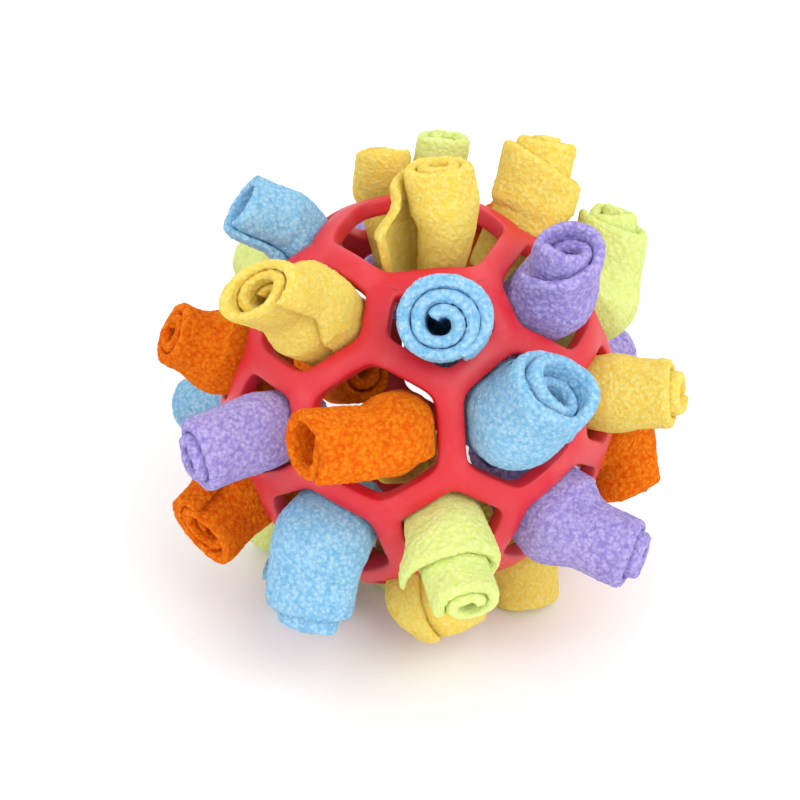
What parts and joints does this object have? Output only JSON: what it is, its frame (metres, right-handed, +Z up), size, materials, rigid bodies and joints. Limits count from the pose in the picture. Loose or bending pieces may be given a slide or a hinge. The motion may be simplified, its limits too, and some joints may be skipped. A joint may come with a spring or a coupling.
{
  "type": "plush snuffle toy",
  "caption": "Hollow rubber lattice ball with rolled strips of fleece pushed into its holes, for hiding food that an animal noses out.",
  "frame": {"origin": "on the floor under the middle of the toy, the surface that its lowest rolls stand on", "axes": "+Z up out of the top hole; +X to the right and +Y away from the picture's camera"},
  "size_m": [0.1513, 0.1618, 0.144],
  "materials": {
    "rubber_red": "semi-matte moulded red rubber",
    "fleece_blue": "soft blue fleece",
    "fleece_yellow": "soft yellow fleece",
    "fleece_orange": "soft orange fleece",
    "fleece_purple": "soft purple fleece",
    "fleece_green": "soft light green fleece"
  },
  "bodies": {
    "ball": {"rubber_ball": "rubber_red"},
    "roll_01": {"roll_01_blue": "fleece_blue"},
    "roll_02": {"roll_02_blue": "fleece_blue"},
    "roll_03": {"roll_03_purple": "fleece_purple"},
    "roll_04": {"roll_04_yellow": "fleece_yellow"},
    "roll_05": {"roll_05_yellow": "fleece_yellow"},
    "roll_06": {"roll_06_yellow": "fleece_yellow"},
    "roll_07": {"roll_07_orange": "fleece_orange"},
    "roll_08": {"roll_08_purple": "fleece_purple"},
    "roll_09": {"roll_09_green": "fleece_green"},
    "roll_10": {"roll_10_blue": "fleece_blue"},
    "roll_11": {"roll_11_purple": "fleece_purple"},
    "roll_12": {"roll_12_yellow": "fleece_yellow"},
    "roll_13": {"roll_13_blue": "fleece_blue"},
    "roll_14": {"roll_14_orange": "fleece_orange"},
    "roll_15": {"roll_15_orange": "fleece_orange"},
    "roll_16": {"roll_16_green": "fleece_green"},
    "roll_17": {"roll_17_yellow": "fleece_yellow"},
    "roll_18": {"roll_18_orange": "fleece_orange"},
    "roll_19": {"roll_19_yellow": "fleece_yellow"},
    "roll_20": {"roll_20_blue": "fleece_blue"},
    "roll_21": {"roll_21_green": "fleece_green"},
    "roll_22": {"roll_22_yellow": "fleece_yellow"},
    "roll_23": {"roll_23_green": "fleece_green"},
    "roll_24": {"roll_24_purple": "fleece_purple"},
    "roll_25": {"roll_25_blue": "fleece_blue"},
    "roll_26": {"roll_26_green": "fleece_green"},
    "roll_27": {"roll_27_orange": "fleece_orange"},
    "roll_28": {"roll_28_purple": "fleece_purple"},
    "roll_29": {"roll_29_blue": "fleece_blue"},
    "roll_30": {"roll_30_orange": "fleece_orange"},
    "roll_31": {"roll_31_yellow": "fleece_yellow"},
    "roll_32": {"roll_32_purple": "fleece_purple"},
    "roll_33": {"roll_33_green": "fleece_green"}
  },
  "joints": [
    {"name": "roll_01_pull", "type": "slide", "parent": "ball", "child": "roll_01", "axis": [0.0996, -0.6289, 0.7711], "range_m": [0, 0.03]},
    {"name": "roll_02_pull", "type": "slide", "parent": "ball", "child": "roll_02", "axis": [0.4889, -0.8061, 0.3333], "range_m": [0, 0.03]},
    {"name": "roll_03_pull", "type": "slide", "parent": "ball", "child": "roll_03", "axis": [0.6453, -0.2477, 0.7227], "range_m": [0, 0.03]},
    {"name": "roll_04_pull", "type": "slide", "parent": "ball", "child": "roll_04", "axis": [0, 0, 1], "range_m": [0, 0.03]},
    {"name": "roll_05_pull", "type": "slide", "parent": "ball", "child": "roll_05", "axis": [0.4948, 0.4007, 0.7711], "range_m": [0, 0.03]},
    {"name": "roll_06_pull", "type": "slide", "parent": "ball", "child": "roll_06", "axis": [-0.5371, -0.435, 0.7227], "range_m": [0, 0.03]},
    {"name": "roll_07_pull", "type": "slide", "parent": "ball", "child": "roll_07", "axis": [-0.2159, -0.9178, 0.3333], "range_m": [0, 0.03]},
    {"name": "roll_08_pull", "type": "slide", "parent": "ball", "child": "roll_08", "axis": [-0.7634, -0.6181, 0.1876], "range_m": [0, 0.03]},
    {"name": "roll_09_pull", "type": "slide", "parent": "ball", "child": "roll_09", "axis": [0.1537, -0.9701, -0.1876], "range_m": [0, 0.03]},
    {"name": "roll_10_pull", "type": "slide", "parent": "ball", "child": "roll_10", "axis": [-0.4536, -0.8265, -0.3333], "range_m": [0, 0.03]},
    {"name": "roll_11_pull", "type": "slide", "parent": "ball", "child": "roll_11", "axis": [0.6868, -0.6459, -0.3333], "range_m": [0, 0.03]},
    {"name": "roll_12_pull", "type": "slide", "parent": "ball", "child": "roll_12", "axis": [0.917, -0.352, 0.1876], "range_m": [0, 0.03]},
    {"name": "roll_13_pull", "type": "slide", "parent": "ball", "child": "roll_13", "axis": [-0.5945, 0.2282, 0.7711], "range_m": [0, 0.03]},
    {"name": "roll_14_pull", "type": "slide", "parent": "ball", "child": "roll_14", "axis": [-0.9426, -0.0204, 0.3333], "range_m": [0, 0.03]},
    {"name": "roll_15_pull", "type": "slide", "parent": "ball", "child": "roll_15", "axis": [-0.9028, -0.2719, -0.3333], "range_m": [0, 0.03]},
    {"name": "roll_16_pull", "type": "slide", "parent": "ball", "child": "roll_16", "axis": [0.9028, 0.2719, 0.3333], "range_m": [0, 0.03]},
    {"name": "roll_17_pull", "type": "slide", "parent": "ball", "child": "roll_17", "axis": [0.1043, -0.6585, -0.7454], "range_m": [0, 0.03]},
    {"name": "roll_18_pull", "type": "slide", "parent": "ball", "child": "roll_18", "axis": [0.9426, 0.0204, -0.3333], "range_m": [0, 0.03]},
    {"name": "roll_19_pull", "type": "slide", "parent": "ball", "child": "roll_19", "axis": [0.5667, -0.2175, -0.7947], "range_m": [0, 0.03]},
    {"name": "roll_20_pull", "type": "slide", "parent": "ball", "child": "roll_20", "axis": [-0.917, 0.352, -0.1876], "range_m": [0, 0.03]},
    {"name": "roll_21_pull", "type": "slide", "parent": "ball", "child": "roll_21", "axis": [-0.6868, 0.6459, 0.3333], "range_m": [0, 0.03]},
    {"name": "roll_22_pull", "type": "slide", "parent": "ball", "child": "roll_22", "axis": [-0.1081, 0.6827, 0.7227], "range_m": [0, 0.03]},
    {"name": "roll_23_pull", "type": "slide", "parent": "ball", "child": "roll_23", "axis": [-0.1081, 0.6827, 0.7227], "range_m": [0, 0.03]},
    {"name": "roll_24_pull", "type": "slide", "parent": "ball", "child": "roll_24", "axis": [0.7634, 0.6181, -0.1876], "range_m": [0, 0.03]},
    {"name": "roll_25_pull", "type": "slide", "parent": "ball", "child": "roll_25", "axis": [-0.4718, -0.382, -0.7947], "range_m": [0, 0.03]},
    {"name": "roll_26_pull", "type": "slide", "parent": "ball", "child": "roll_26", "axis": [-0.6224, 0.2389, -0.7454], "range_m": [0, 0.03]},
    {"name": "roll_27_pull", "type": "slide", "parent": "ball", "child": "roll_27", "axis": [0.4536, 0.8265, 0.3333], "range_m": [0, 0.03]},
    {"name": "roll_28_pull", "type": "slide", "parent": "ball", "child": "roll_28", "axis": [-0.1537, 0.9701, 0.1876], "range_m": [0, 0.03]},
    {"name": "roll_29_pull", "type": "slide", "parent": "ball", "child": "roll_29", "axis": [0.2159, 0.9178, -0.3333], "range_m": [0, 0.03]},
    {"name": "roll_30_pull", "type": "slide", "parent": "ball", "child": "roll_30", "axis": [-0.4889, 0.8061, -0.3333], "range_m": [0, 0.03]},
    {"name": "roll_31_pull", "type": "slide", "parent": "ball", "child": "roll_31", "axis": [-0.095, 0.5996, -0.7947], "range_m": [0, 0.03]},
    {"name": "roll_32_pull", "type": "slide", "parent": "ball", "child": "roll_32", "axis": [0.5181, 0.4195, -0.7454], "range_m": [0, 0.03]},
    {"name": "roll_33_pull", "type": "slide", "parent": "ball", "child": "roll_33", "axis": [0, 0, -1], "range_m": [0, 0.03]}
  ]
}
